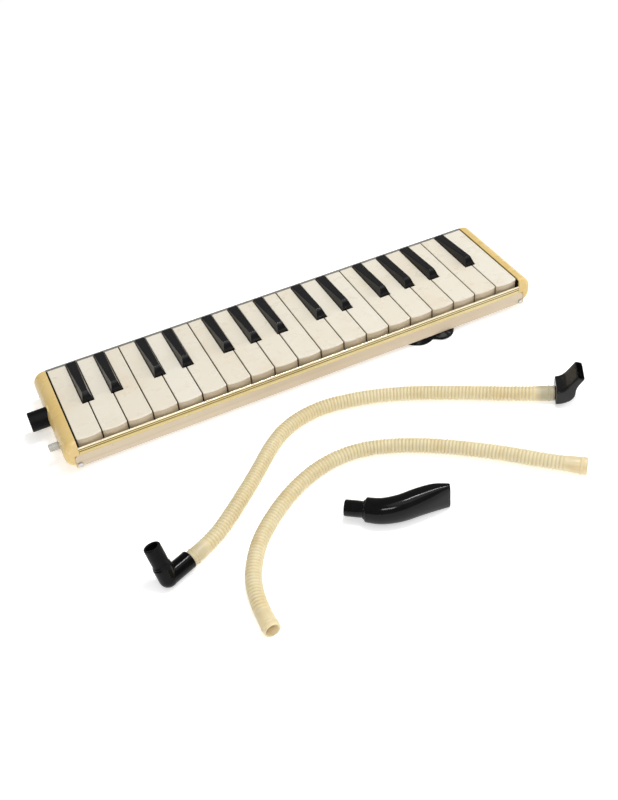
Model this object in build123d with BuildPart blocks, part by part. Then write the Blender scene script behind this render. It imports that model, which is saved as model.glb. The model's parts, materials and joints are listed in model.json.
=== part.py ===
from build123d import *
import os
from math import cos, radians, sin, tan

# A melodica with 32 keys, its two blow hoses and its two mouthpieces. Millimetres, +Z up.
# The origin is on the table under the middle of the body. +X runs along the keys towards the
# treble end, and the front edge, where the white keys are pressed, faces -Y.

# ---- driving dimensions -------------------------------------------------------------------
# body
HALF_LENGTH = 212.3  # over the end caps
HALF_DEPTH = 51.3  # over the front and rear covers
CAP_INNER = 200.4  # inner face of each end cap
BODY_BASE = 4.5  # underside of the body, held up by the feet
KEY_TOP = 30.0  # playing surface of the white keys
SHEET = 0.8  # thickness of the covers and the bottom plate
CAP_WALL = 2.5
CAP_TOP_ROUND = 10.5
CAP_LOW_ROUND = 11.2
CAP_EDGE_ROUND = 4.0
COVER_TOP = 16.1  # top of the front cover, bottom of the trim
TRIM_TOP = 23.3
TAB_REACH = 204.7  # the covers' tabs over the end caps
BAY = 200.2  # half length of what lies between the caps
BED_END = 199.4  # inner face of the key bed's end walls
FLANGE_Y = 45.0  # edge of the covers' lower flanges
# screws, all alike
SCREW_R = 1.0
SCREW_LENGTH = 9.0
SCREW_HOLE_R = 1.1
SCREW_HEAD_R = 2.0
SCREW_HEAD = 1.2
TAB_SCREW_X = 202.0
TAB_SCREW_Z = 7.0
# keys
WHITE_KEYS = 19
WHITE_PITCH = 21.0
KEY_GAP = 0.9
WHITE_FRONT = -47.6  # front corners of a white key
FRONT_BULGE = 1.5
LIP_DEPTH = 0.35
LIP_Z = 28.6
BLOCK_BACK = -9.4  # back of the wide front block
KEY_REAR = 46.5
PLATE_Z = 25.0  # underside of the key's top plate
BLOCK_Z = 19.5  # underside of the front block and the rib
KEY_WALL = 1.8
BLACK_HALF = 4.6
BLACK_GAP = 0.5
BLACK_FRONT = -8.7
BLACK_TOP_Y = -3.5
BLACK_TOP_Z = 37.0
BLACK_REAR_Z = 31.0
BLACK_TOP_HALF = 2.45
BLACK_SKIRT_Z = 20.38
# boundaries between white keys that carry a black key, and how far it stands off the boundary
BLACK_OFFSET = {1: 0, 2: 3.5, 4: -1.75, 5: 1.75, 7: -3.5, 8: 0, 9: 3.5}
BLACK_OFFSET |= {11: -1.75, 12: 1.75, 14: -3.5, 15: 0, 16: 3.5, 18: -1.75}
# lanes: one for each note, from the bass end
NOTES = 32
LANE_PITCH = 12.25
FIRST_LANE = -190.75
RIB_WIDTH = 4.4
FOOT_WIDTH = 9.0
HUB_WIDTH = 8.9
HUB_R = 3.0
# pivot
PIVOT_Y, PIVOT_Z = 22.0, 21.0
ROD_R = 1.5
ROD_BORE_R = 1.55
# reed chest, from the bottom plate up
CHEST_FRONT, CHEST_REAR = 16.0, 49.4
CHEST_WALL = 4.0
TRAY_Z, GASKET_Z, REED_PLATE_Z, BOARD_Z, BOARD_TOP = 5.3, 9.3, 9.8, 11.0, 17.5
CELL_WIDTH = 9.3
CELL_TOP = 15.5
TONE_HOLE = (5.0, 9.0)
TONE_HOLE_Y = 39.0
PORT_Y = (20.0, 34.0)
PORT_Z = (6.7, 9.1)
# blow socket and drain button on the left end
SOCKET_Y, SOCKET_Z = 6.0, 17.0
SOCKET_R = 8.25
SOCKET_BORE_R = 6.25
SOCKET_END = 226.8
SOCKET_FLANGE = 203.5
BUTTON_Y = -32.2
BUTTON_R = 3.15
BUTTON_END = 220.4
BUTTON_TRAVEL = 2.6
# hoses
HOSE_R = 6.0
HOSE_BORE_R = 4.75
HOSE_Z = 6.2
CUFF_SPIGOT_R = 4.65
CUFF_SPIGOT = 12.0
# elbow on the playing hose; its spigot and the short mouthpiece's fit the same socket
ELBOW_LEG = 20.5
ELBOW_LEG_R = 6.9
ELBOW_ARM_R = 7.0
ELBOW_AXIS_Z = 7.3
ELBOW_ROLL = 22.0
ELBOW_STEP = 10.2
SPIGOT_R = 6.2
SPIGOT_LENGTH = 15.2
ELBOW_SPIGOT = 17.0

os.makedirs("parts", exist_ok=True)

# places shared by several pieces
BED_FLOOR = (BODY_BASE + SHEET, BODY_BASE + SHEET + 1.5)
SCREW_LINE = [FIRST_LANE + LANE_PITCH * (lane + 0.5) for lane in (3, 11, 19, 27)]
FRONT_SCREW_Y = -47.2
CHEST_SCREW_Y = (18.0, 47.4)
UNDER_SCREWS = [(x, y) for x in SCREW_LINE for y in (FRONT_SCREW_Y, *CHEST_SCREW_Y)]
LANES = [FIRST_LANE + LANE_PITCH * lane for lane in range(NOTES)]
LANE_EDGES = [FIRST_LANE + LANE_PITCH * (lane - 0.5) for lane in range(NOTES + 1)]
LOW_CORNER = (Align.MIN, Align.MIN)


def strip(x, half_width, rect_y, rect_z, mode=Mode.ADD):
    """A bar along X, centred on x, over a range of y and a range of z."""
    size = (2 * half_width, rect_y[1] - rect_y[0], rect_z[1] - rect_z[0])
    with Locations((x, rect_y[0], rect_z[0])):
        Box(*size, align=(Align.CENTER, Align.MIN, Align.MIN), mode=mode)


# ---- end caps -----------------------------------------------------------------------------
def cap_outline(inset):
    """D outline of a cap seen from the front, shrunk by inset, drawn in x and z."""
    with Locations((CAP_INNER, BODY_BASE + inset)):
        size = (HALF_LENGTH - CAP_INNER - inset, KEY_TOP - BODY_BASE - 2 * inset)
        Rectangle(*size, align=LOW_CORNER)
    outer = vertices().sort_by(Axis.X)[-2:].sort_by(Axis.Y)
    fillet(outer[0], CAP_LOW_ROUND - inset)
    fillet(vertices().sort_by(Axis.X)[-2:].sort_by(Axis.Y)[-1], CAP_TOP_ROUND - inset)


CAVITY_Y = HALF_DEPTH - CAP_WALL
with BuildPart() as cap_cavity:
    with BuildSketch(Plane.XZ.offset(-CAVITY_Y)):
        cap_outline(CAP_WALL)
    extrude(amount=2 * CAVITY_Y)
    # left solid: blocks for the tab screws, and the ribs that close the air passage
    for side in (-1, 1):
        block = (side * 45.0 - 4.0, side * 45.0 + 4.0)
        strip(CAP_INNER, 5.6, block, (BODY_BASE, 11.0), mode=Mode.SUBTRACT)
    for rib_y in (-40.0, 37.0):
        strip(CAP_INNER, 12.0, (rib_y - 1, rib_y + 1), (BODY_BASE, KEY_TOP), mode=Mode.SUBTRACT)

with BuildPart() as cap_shell:
    with BuildSketch(Plane.XZ.offset(-HALF_DEPTH)):
        cap_outline(0)
    extrude(amount=2 * HALF_DEPTH)
    for side in (-1, 1):
        rim = edges().filter_by_position(Axis.Y, side * HALF_DEPTH - 0.1, side * HALF_DEPTH + 0.1)
        fillet(rim.filter_by_position(Axis.X, CAP_INNER + 0.1, HALF_LENGTH), CAP_EDGE_ROUND)
    # square corners behind the covers' tabs, with the tab recesses and screw holes
    for side in (-1, 1):
        corner = sorted((side * HALF_DEPTH, side * 46.0))
        strip(CAP_INNER + 2.5, 2.5, corner, (BODY_BASE, COVER_TOP))
    add(cap_cavity.part, mode=Mode.SUBTRACT)
    for side in (-1, 1):
        recess = sorted((side * HALF_DEPTH, side * (HALF_DEPTH - SHEET - 0.1)))
        strip(CAP_INNER, 4.6, recess, (BODY_BASE - 0.1, COVER_TOP + 0.1), mode=Mode.SUBTRACT)
        with BuildSketch(Plane.XZ.offset(side * HALF_DEPTH)):
            with Locations((TAB_SCREW_X, TAB_SCREW_Z)):
                Circle(SCREW_HOLE_R)
        extrude(amount=-side * (SCREW_LENGTH + 0.2), mode=Mode.SUBTRACT)

with BuildPart() as right_end_cap:
    add(cap_shell.part)
right_end_cap.part.label = "right_end_cap"
export_step(right_end_cap.part, "parts/right_end_cap.step")

# planes looking out of the left end, x positions are given as distances from the middle
def left_plane(distance):
    """A plane square to X on the left side, local x along +Y and local y up."""
    return Plane(origin=(-distance, 0, 0), x_dir=(0, 1, 0), z_dir=(1, 0, 0))


BOSS_END = 206.0  # inner end of the button's boss
BUTTON_SEAT = 207.2  # web that the spring stands on
with BuildPart() as left_end_cap:
    mirror(cap_shell.part, about=Plane.YZ)
    with BuildSketch(left_plane(210.5)):
        with Locations((SOCKET_Y, SOCKET_Z)):
            Circle(10.2)
    extrude(amount=210.5 - SOCKET_FLANGE)
    with BuildSketch(left_plane(210.5)):
        with Locations((BUTTON_Y, SOCKET_Z)):
            Circle(5.2)
    extrude(amount=210.5 - BOSS_END)
    with BuildSketch(left_plane(HALF_LENGTH + 1)):
        with Locations((SOCKET_Y, SOCKET_Z)):
            Circle(SOCKET_R + 0.05)
    extrude(amount=HALF_LENGTH + 1 - SOCKET_FLANGE, mode=Mode.SUBTRACT)
    # the button's bore, with a drain groove below it, and the stem hole in the web
    with BuildSketch(left_plane(HALF_LENGTH + 1)):
        with Locations((BUTTON_Y, SOCKET_Z)):
            Circle(BUTTON_R + 0.15)
        with Locations((BUTTON_Y, SOCKET_Z - BUTTON_R)):
            Rectangle(1.6, 1.6)
    extrude(amount=HALF_LENGTH + 1 - BUTTON_SEAT, mode=Mode.SUBTRACT)
    with BuildSketch(left_plane(HALF_LENGTH + 1)):
        with Locations((BUTTON_Y, SOCKET_Z)):
            Circle(1.7)
    extrude(amount=HALF_LENGTH + 1 - BOSS_END, mode=Mode.SUBTRACT)
left_end_cap.part.label = "left_end_cap"
export_step(left_end_cap.part, "parts/left_end_cap.step")

# ---- blow socket and drain button -----------------------------------------------------------
with BuildPart() as blow_socket:
    with BuildSketch(left_plane(SOCKET_END)):
        with Locations((SOCKET_Y, SOCKET_Z)):
            Circle(SOCKET_R)
    extrude(amount=SOCKET_END - SOCKET_FLANGE + 1.3)
    chamfer(edges().group_by(Axis.X)[0], 0.6)
    with BuildSketch(left_plane(SOCKET_FLANGE)):
        with Locations((SOCKET_Y, SOCKET_Z)):
            Circle(9.3)
    extrude(amount=1.3)
    with BuildSketch(left_plane(SOCKET_END)):
        with Locations((SOCKET_Y, SOCKET_Z)):
            Circle(SOCKET_BORE_R)
    extrude(amount=SOCKET_END, mode=Mode.SUBTRACT)
blow_socket.part.label = "blow_socket"
export_step(blow_socket.part, "parts/blow_socket.step")

POCKET_DEPTH = 5.8
HEAD_END = 210.2  # inner end of the button's head
with BuildPart() as drain_button:
    with BuildSketch(left_plane(BUTTON_END)):
        with Locations((BUTTON_Y, SOCKET_Z)):
            Circle(BUTTON_R)
    extrude(amount=BUTTON_END - HEAD_END)
    fillet(edges().group_by(Axis.X)[0], 0.9)
    with BuildSketch(left_plane(HEAD_END + POCKET_DEPTH)):
        with Locations((BUTTON_Y, SOCKET_Z)):
            Circle(2.65)
    extrude(amount=POCKET_DEPTH, mode=Mode.SUBTRACT)
    with BuildSketch(left_plane(HEAD_END + POCKET_DEPTH)):
        with Locations((BUTTON_Y, SOCKET_Z)):
            Circle(1.1)
    extrude(amount=HEAD_END + POCKET_DEPTH - BOSS_END + 1.4)
drain_button.part.label = "drain_button"
export_step(drain_button.part, "parts/drain_button.step")

with BuildPart() as drain_seal:
    with BuildSketch(left_plane(BOSS_END)):
        with Locations((BUTTON_Y, SOCKET_Z)):
            Circle(3.0)
            Circle(1.1, mode=Mode.SUBTRACT)
    extrude(amount=1.4)
drain_seal.part.label = "drain_seal"
export_step(drain_seal.part, "parts/drain_seal.step")

# the spring is drawn as long as it is with the button pressed in
SPRING_LENGTH = HEAD_END + POCKET_DEPTH - BUTTON_TRAVEL - BUTTON_SEAT - 0.2
SPRING_WIRE_R = 0.22
with BuildPart() as drain_spring:
    with BuildLine():
        coil = Helix(
            pitch=(SPRING_LENGTH - 2 * SPRING_WIRE_R) / 5,
            height=SPRING_LENGTH - 2 * SPRING_WIRE_R,
            radius=2.2,
            center=(-BUTTON_SEAT - SPRING_WIRE_R, BUTTON_Y, SOCKET_Z),
            direction=(-1, 0, 0),
        )
    with BuildSketch(Plane(origin=coil @ 0, z_dir=coil % 0)):
        Circle(SPRING_WIRE_R)
    sweep(path=coil, is_frenet=True)
drain_spring.part.label = "drain_spring"
export_step(drain_spring.part, "parts/drain_spring.step")

# ---- covers and trim ------------------------------------------------------------------------
with BuildPart() as front_cover:
    with BuildSketch(Plane.XZ.offset(HALF_DEPTH - SHEET)):
        with Locations((0, BODY_BASE)):
            Rectangle(2 * TAB_REACH, COVER_TOP - BODY_BASE, align=(Align.CENTER, Align.MIN))
        fillet(vertices().group_by(Axis.Y)[-1], 3.0)
        with Locations((-TAB_SCREW_X, TAB_SCREW_Z), (TAB_SCREW_X, TAB_SCREW_Z)):
            Circle(1.3, mode=Mode.SUBTRACT)
    extrude(amount=SHEET)
    strip(0, BAY, (-HALF_DEPTH, -FLANGE_Y), (BODY_BASE, BODY_BASE + SHEET))
    lower = edges().filter_by(Axis.X).group_by(Axis.Z)[0]
    fillet(lower.sort_by(Axis.Y)[0], 0.7)
    for x in SCREW_LINE:
        with Locations((x, FRONT_SCREW_Y, BODY_BASE)):
            Cylinder(SCREW_HOLE_R, 4, mode=Mode.SUBTRACT)
front_cover.part.label = "front_cover"
export_step(front_cover.part, "parts/front_cover.step")

RAIL_TOP = 29.3
with BuildPart() as rear_cover:
    with BuildSketch(Plane.YZ.offset(-BAY)):
        with Locations((HALF_DEPTH, BODY_BASE)):
            Rectangle(SHEET, RAIL_TOP - BODY_BASE, align=(Align.MAX, Align.MIN))
            Rectangle(HALF_DEPTH - FLANGE_Y, SHEET, align=(Align.MAX, Align.MIN))
        with Locations((HALF_DEPTH, RAIL_TOP)):
            Rectangle(3.9, SHEET, align=(Align.MAX, Align.MAX))
        fillet(vertices().group_by(Axis.Y)[-1].sort_by(Axis.X)[-1], 2.0)
        fillet(vertices().group_by(Axis.Y)[0].sort_by(Axis.X)[-1], 0.7)
    extrude(amount=2 * BAY)
    with BuildSketch(Plane.XZ.offset(-HALF_DEPTH)):
        with Locations((0, BODY_BASE + 0.7)):
            Rectangle(2 * TAB_REACH, COVER_TOP - BODY_BASE - 0.7, align=(Align.CENTER, Align.MIN))
        fillet(vertices(), 2.0)
    extrude(amount=SHEET)
    with BuildSketch(Plane.XZ.offset(-HALF_DEPTH)):
        with Locations((-TAB_SCREW_X, TAB_SCREW_Z), (TAB_SCREW_X, TAB_SCREW_Z)):
            Circle(1.3)
    extrude(amount=SHEET, mode=Mode.SUBTRACT)
    for x in SCREW_LINE:
        with Locations((x, CHEST_SCREW_Y[1], BODY_BASE)):
            Cylinder(SCREW_HOLE_R, 4, mode=Mode.SUBTRACT)
rear_cover.part.label = "rear_cover"
export_step(rear_cover.part, "parts/rear_cover.step")

TRIM_BACK = -49.9
with BuildPart() as front_trim:
    with BuildSketch(Plane.YZ.offset(-BAY)):
        with Locations((-HALF_DEPTH, COVER_TOP)):
            Rectangle(HALF_DEPTH + TRIM_BACK, TRIM_TOP - COVER_TOP, align=LOW_CORNER)
        fillet(vertices().sort_by(Axis.Y)[-2:], 0.65)
        # the tongue stands between the cover and the key bed's front wall
        with Locations((-HALF_DEPTH + SHEET, 12.0)):
            Rectangle(1.0, COVER_TOP - 12.0 + 0.6, align=LOW_CORNER)
        for groove_z, groove_width in ((19.7, 0.6), (21.5, 0.6)):
            with Locations((-HALF_DEPTH, groove_z)):
                Rectangle(0.9, groove_width, mode=Mode.SUBTRACT)
    extrude(amount=2 * BAY)
front_trim.part.label = "front_trim"
export_step(front_trim.part, "parts/front_trim.step")

with BuildPart() as bottom_plate:
    strip(0, BAY, (-FLANGE_Y + 0.3, FLANGE_Y - 0.3), (BODY_BASE, BODY_BASE + SHEET))
    for x in SCREW_LINE:
        with Locations((x, CHEST_SCREW_Y[0], BODY_BASE)):
            Cylinder(SCREW_HOLE_R, 4, mode=Mode.SUBTRACT)
bottom_plate.part.label = "bottom_plate"
export_step(bottom_plate.part, "parts/bottom_plate.step")

with BuildPart() as body_screws:
    for x, y in UNDER_SCREWS:
        with Locations((x, y, BODY_BASE)):
            Cylinder(SCREW_HEAD_R, SCREW_HEAD, align=(Align.CENTER, Align.CENTER, Align.MAX))
            Cylinder(SCREW_R, SCREW_LENGTH, align=(Align.CENTER, Align.CENTER, Align.MIN))
    for side in (-1, 1):
        with BuildSketch(Plane.XZ.offset(side * HALF_DEPTH)):
            with Locations((-TAB_SCREW_X, TAB_SCREW_Z), (TAB_SCREW_X, TAB_SCREW_Z)):
                Circle(SCREW_HEAD_R)
        extrude(amount=side * SCREW_HEAD)
        with BuildSketch(Plane.XZ.offset(side * HALF_DEPTH)):
            with Locations((-TAB_SCREW_X, TAB_SCREW_Z), (TAB_SCREW_X, TAB_SCREW_Z)):
                Circle(SCREW_R)
        extrude(amount=-side * SCREW_LENGTH)
    chamfer(edges().filter_by(GeomType.CIRCLE).filter_by_position(
        Axis.Z, BODY_BASE - SCREW_HEAD - 0.01, BODY_BASE - SCREW_HEAD + 0.01), 0.3)
body_screws.part.label = "body_screws"
export_step(body_screws.part, "parts/body_screws.step")

with BuildPart() as rubber_feet:
    with BuildSketch(Plane.XY):
        with GridLocations(376, 72, 2, 2):
            Circle(5.0)
    extrude(amount=BODY_BASE)
    fillet(edges().group_by(Axis.Z)[0], 0.8)
rubber_feet.part.label = "rubber_feet"
export_step(rubber_feet.part, "parts/rubber_feet.step")

# ---- key bed ----------------------------------------------------------------------------------
FELT_FRONT_Y = (-44.0, -38.0)
FELT_BACK_Y = (-7.0, -2.0)
FELT_FRONT_Z = (12.85, 14.85)
FELT_BACK_Z = (15.5, 17.3)
SPRING_BAR_Y = (-1.5, 4.0)
EAR_WIDTH = 3.0
BED_FRONT = -49.5
with BuildPart() as key_bed:
    strip(0, BED_END, (BED_FRONT, 15.5), BED_FLOOR)
    strip(0, BED_END, (BED_FRONT, BED_FRONT + 1.6), (BED_FLOOR[0], 14.0))
    strip(0, BED_END, (-44.5, -37.5), (BED_FLOOR[0], FELT_FRONT_Z[0]))
    strip(0, BED_END, (-7.5, 4.0), (BED_FLOOR[0], FELT_BACK_Z[0]))
    # both rails are channels, open underneath
    strip(0, BED_END - 2, (-43.0, -39.0), (BED_FLOOR[0], FELT_FRONT_Z[0] - 1.5), mode=Mode.SUBTRACT)
    strip(0, BED_END - 2, (-6.0, 2.5), (BED_FLOOR[0], FELT_BACK_Z[0] - 1.5), mode=Mode.SUBTRACT)
    with Locations([(x, FRONT_SCREW_Y, BED_FLOOR[0]) for x in SCREW_LINE]):
        Cylinder(2.2, 8.7, align=(Align.CENTER, Align.CENTER, Align.MIN))
        Cylinder(SCREW_HOLE_R, 20, mode=Mode.SUBTRACT)
    # bearing comb: an ear between every two lanes, reaching back over the chest
    for x in LANE_EDGES:
        with BuildSketch(Plane.YZ.offset(x - EAR_WIDTH / 2)):
            with BuildLine():
                Polyline((5, BED_FLOOR[0]), (12, BED_FLOOR[0]), (12, 17.8), (PIVOT_Y, 17.8),
                         (20.4, 23.77), (5, 13), close=True)
            make_face()
            with Locations((PIVOT_Y, PIVOT_Z)):
                Circle(3.2)
                Circle(ROD_BORE_R, mode=Mode.SUBTRACT)
        extrude(amount=EAR_WIDTH)
    for side in (-1, 1):
        wall_x = side * (BED_END + 0.5)
        strip(wall_x, 0.5, (BED_FRONT, CHEST_REAR), (BED_FLOOR[0], 28.4))
    strip(-BED_END - 0.5, 1.0, PORT_Y, PORT_Z, mode=Mode.SUBTRACT)
key_bed.part.label = "key_bed"
export_step(key_bed.part, "parts/key_bed.step")

with BuildPart() as stop_felt:
    strip(0, BED_END - 0.4, FELT_FRONT_Y, FELT_FRONT_Z)
    strip(0, BED_END - 0.4, FELT_BACK_Y, FELT_BACK_Z)
stop_felt.part.label = "stop_felt"
export_step(stop_felt.part, "parts/stop_felt.step")

# one comb of leaf springs, each finger drawn as it is under a pressed key
LEAF = 0.4
with BuildPart() as key_springs:
    strip(0, BED_END - 0.4, SPRING_BAR_Y, (FELT_BACK_Z[0], FELT_BACK_Z[0] + LEAF))
    for x in LANES:
        with BuildSketch(Plane.YZ.offset(x - 2)):
            with BuildLine():
                Polyline((3.9, 15.5), (13.6, 18.1), (14.2, 18.1), (14.2, 18.5), (13.5, 18.5),
                         (3.9, 15.9), close=True)
            make_face()
        extrude(amount=4)
key_springs.part.label = "key_springs"
export_step(key_springs.part, "parts/key_springs.step")

with BuildPart() as pivot_rod:
    with BuildSketch(Plane.YZ.offset(-BED_END + 0.2)):
        with Locations((PIVOT_Y, PIVOT_Z)):
            Circle(ROD_R)
    extrude(amount=2 * BED_END - 0.4)
pivot_rod.part.label = "pivot_rod"
export_step(pivot_rod.part, "parts/pivot_rod.step")

# ---- reed chest -------------------------------------------------------------------------------
CHEST_Y = (CHEST_FRONT, CHEST_REAR)
CHAMBER_Y = (CHEST_FRONT + CHEST_WALL, CHEST_REAR - CHEST_WALL)
CHAMBER_HALF = BED_END - CHEST_WALL
SLOT_START = 26.0
SLOT_WIDTH = 3.2
LONGEST_SLOT, SHORTEST_SLOT = 18.0, 10.0
SLOTS = [LONGEST_SLOT + (SHORTEST_SLOT - LONGEST_SLOT) * lane / (NOTES - 1) for lane in range(NOTES)]
RIVET_R = 0.9
RIVET_Y = 23.5


def chest_screw_holes():
    """Clear holes through the part under construction for the chest's screws."""
    with Locations([(x, y, TRAY_Z) for x in SCREW_LINE for y in CHEST_SCREW_Y]):
        Cylinder(SCREW_HOLE_R, 2 * (SCREW_LENGTH - 0.6), mode=Mode.SUBTRACT)


with BuildPart() as reed_chamber:
    strip(0, BED_END, CHEST_Y, (TRAY_Z, GASKET_Z))
    strip(0, CHAMBER_HALF, CHAMBER_Y, (TRAY_Z + 1.2, GASKET_Z), mode=Mode.SUBTRACT)
    strip(-BED_END, CHEST_WALL + 1, PORT_Y, PORT_Z, mode=Mode.SUBTRACT)
    chest_screw_holes()
reed_chamber.part.label = "reed_chamber"
export_step(reed_chamber.part, "parts/reed_chamber.step")

with BuildPart() as chamber_gasket:
    strip(0, BED_END, CHEST_Y, (GASKET_Z, REED_PLATE_Z))
    strip(0, CHAMBER_HALF, CHAMBER_Y, (GASKET_Z, REED_PLATE_Z), mode=Mode.SUBTRACT)
    chest_screw_holes()
chamber_gasket.part.label = "chamber_gasket"
export_step(chamber_gasket.part, "parts/chamber_gasket.step")

with BuildPart() as reed_plate:
    strip(0, BED_END, CHEST_Y, (REED_PLATE_Z, BOARD_Z))
    with BuildSketch(Plane.XY.offset(REED_PLATE_Z)):
        for x, slot in zip(LANES, SLOTS):
            with Locations((x, SLOT_START)):
                Rectangle(SLOT_WIDTH, slot, align=(Align.CENTER, Align.MIN))
            with Locations((x, RIVET_Y)):
                Circle(RIVET_R + 0.05)
    extrude(amount=BOARD_Z - REED_PLATE_Z, mode=Mode.SUBTRACT)
    chest_screw_holes()
reed_plate.part.label = "reed_plate"
export_step(reed_plate.part, "parts/reed_plate.step")

REED_THICKNESS = 0.25
with BuildPart() as reeds:
    with BuildSketch(Plane.XY.offset(REED_PLATE_Z - REED_THICKNESS)):
        for x, slot in zip(LANES, SLOTS):
            with Locations((x, SLOT_START - 4.5)):
                Rectangle(5.0, 4.5, align=(Align.CENTER, Align.MIN))
                Rectangle(SLOT_WIDTH - 0.3, 4.3 + slot, align=(Align.CENTER, Align.MIN))
    extrude(amount=REED_THICKNESS)
    with Locations([(x, RIVET_Y, REED_PLATE_Z - 0.7) for x in LANES]):
        Cylinder(RIVET_R, BOARD_Z - REED_PLATE_Z + 0.7, align=(Align.CENTER, Align.CENTER, Align.MIN))
reeds.part.label = "reeds"
export_step(reeds.part, "parts/reeds.step")

with BuildPart() as tone_board:
    strip(0, BED_END, CHEST_Y, (BOARD_Z, BOARD_TOP))
    with BuildSketch(Plane.XY.offset(BOARD_Z)):
        with Locations([(x, CHAMBER_Y[0]) for x in LANES]):
            Rectangle(CELL_WIDTH, CHAMBER_Y[1] - CHAMBER_Y[0], align=(Align.CENTER, Align.MIN))
    extrude(amount=CELL_TOP - BOARD_Z, mode=Mode.SUBTRACT)
    with BuildSketch(Plane.XY.offset(CELL_TOP)):
        with Locations([(x, TONE_HOLE_Y) for x in LANES]):
            Rectangle(*TONE_HOLE)
    extrude(amount=BOARD_TOP - CELL_TOP, mode=Mode.SUBTRACT)
    chest_screw_holes()
tone_board.part.label = "tone_board"
export_step(tone_board.part, "parts/tone_board.step")

# ---- keys -------------------------------------------------------------------------------------
BLACK_X = {k: (k - WHITE_KEYS / 2) * WHITE_PITCH + off for k, off in BLACK_OFFSET.items()}


def lever(lane_x, rib_front):
    """Rib, hub, foot and pad under a key, on the centre of its lane."""
    strip(lane_x, RIB_WIDTH / 2, (rib_front, KEY_REAR), (BLOCK_Z, PLATE_Z + 0.5))
    with Locations(Plane.YZ * Pos(PIVOT_Y, PIVOT_Z, lane_x)):
        Cylinder(HUB_R, HUB_WIDTH)
    strip(lane_x, FOOT_WIDTH / 2, (32.0, KEY_REAR - 0.5), (BLOCK_Z, BLOCK_Z + 2))
    with Locations(Plane.YZ * Pos(PIVOT_Y, PIVOT_Z, lane_x)):
        Cylinder(ROD_BORE_R, 2 * HUB_WIDTH, mode=Mode.SUBTRACT)


def pad(lane_x):
    """The soft pad that closes the tone hole, stuck under the lever's foot."""
    with BuildPart() as soft_pad:
        strip(lane_x, 4.0, (33.0, 45.0), (BOARD_TOP, BLOCK_Z))
    return soft_pad.part


def front_outline(left, right, setback):
    """Plan of a white key's front block, its front edge bowed, drawn in x and y."""
    middle = (left + right) / 2
    with BuildLine() as outline:
        ThreePointArc((left, WHITE_FRONT + setback), (middle, WHITE_FRONT - FRONT_BULGE + setback),
                      (right, WHITE_FRONT + setback))
        Polyline((right, WHITE_FRONT + setback), (right, BLOCK_BACK), (left, BLOCK_BACK),
                 (left, WHITE_FRONT + setback))
    make_face(outline.edges())
    fillet(vertices().sort_by(Axis.Y)[:2], 1.0)


for number in range(1, WHITE_KEYS + 1):
    left = (number - 1 - WHITE_KEYS / 2) * WHITE_PITCH + KEY_GAP / 2
    right = left + WHITE_PITCH - KEY_GAP
    tail_left = BLACK_X[number - 1] + BLACK_HALF + BLACK_GAP if number - 1 in BLACK_X else left
    tail_right = BLACK_X[number] - BLACK_HALF - BLACK_GAP if number in BLACK_X else right
    # the note's lane counts the white and the black keys before it
    lane_x = LANES[number - 1 + sum(1 for k in BLACK_X if k < number)]
    with BuildPart() as white_key:
        with BuildSketch(Plane.XY.offset(BLOCK_Z)):
            front_outline(left, right, LIP_DEPTH)
        extrude(amount=LIP_Z - BLOCK_Z)
        with BuildSketch(Plane.XY.offset(LIP_Z)):
            front_outline(left, right, 0)
        extrude(amount=KEY_TOP - LIP_Z)
        with Locations((tail_left, BLOCK_BACK - 1, PLATE_Z)):
            size = (tail_right - tail_left, KEY_REAR - BLOCK_BACK + 1, KEY_TOP - PLATE_Z)
            Box(*size, align=(Align.MIN, Align.MIN, Align.MIN))
        fillet(faces().sort_by(Axis.Z)[-1].edges(), 0.6)
        pocket_y = (WHITE_FRONT + LIP_DEPTH + KEY_WALL, BLOCK_BACK - KEY_WALL)
        pocket_x = (right - left) / 2 - KEY_WALL
        strip((left + right) / 2, pocket_x, pocket_y, (BLOCK_Z, KEY_TOP - 2.2), mode=Mode.SUBTRACT)
        lever(lane_x, BLOCK_BACK - 0.5)
    name = f"white_key_{number:02d}"
    white_key_and_pad = Compound(label=name, children=[white_key.part, pad(lane_x)])
    export_step(white_key_and_pad, f"parts/{name}.step")

SIDE_SLOPE = (BLACK_HALF - BLACK_TOP_HALF) / (BLACK_TOP_Z - KEY_TOP)
SLOPE_TOP = KEY_TOP + 9
for number, (boundary, x) in enumerate(BLACK_X.items(), start=1):
    with BuildPart() as black_key:
        with BuildSketch(Plane.YZ.offset(x - BLACK_HALF)):
            with BuildLine():
                ThreePointArc((BLACK_FRONT + 1.1, 31.3), (-6.0, 34.7), (BLACK_TOP_Y, BLACK_TOP_Z))
                Polyline((BLACK_TOP_Y, BLACK_TOP_Z), (KEY_REAR, BLACK_REAR_Z), (KEY_REAR, PLATE_Z),
                         (-1, PLATE_Z), (-1, BLACK_SKIRT_Z), (BLACK_FRONT, BLACK_SKIRT_Z),
                         (BLACK_FRONT, 31.1), (BLACK_FRONT + 1.1, 31.3))
            make_face()
        extrude(amount=2 * BLACK_HALF)
        # the two sides lean in above the white keys
        with BuildSketch(Plane.XZ.offset(-KEY_REAR - 1)):
            for side in (-1, 1):
                with BuildLine():
                    edge = x + side * BLACK_HALF
                    Polyline((edge, KEY_TOP), (edge, SLOPE_TOP),
                             (edge - side * SIDE_SLOPE * (SLOPE_TOP - KEY_TOP), SLOPE_TOP), close=True)
                make_face()
        extrude(amount=KEY_REAR - BLACK_FRONT + 2, mode=Mode.SUBTRACT)
        top = faces().filter_by(lambda f: f.normal_at().Z > 0.9 and f.center().Z > 32).sort_by(SortBy.AREA)[-1]
        fillet(top.edges().filter_by_position(Axis.Y, BLACK_TOP_Y - 1, KEY_REAR - 0.5), 0.7)
        lever(x, -1.5)
    name = f"black_key_{number:02d}"
    black_key_and_pad = Compound(label=name, children=[black_key.part, pad(x)])
    export_step(black_key_and_pad, f"parts/{name}.step")

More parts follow.
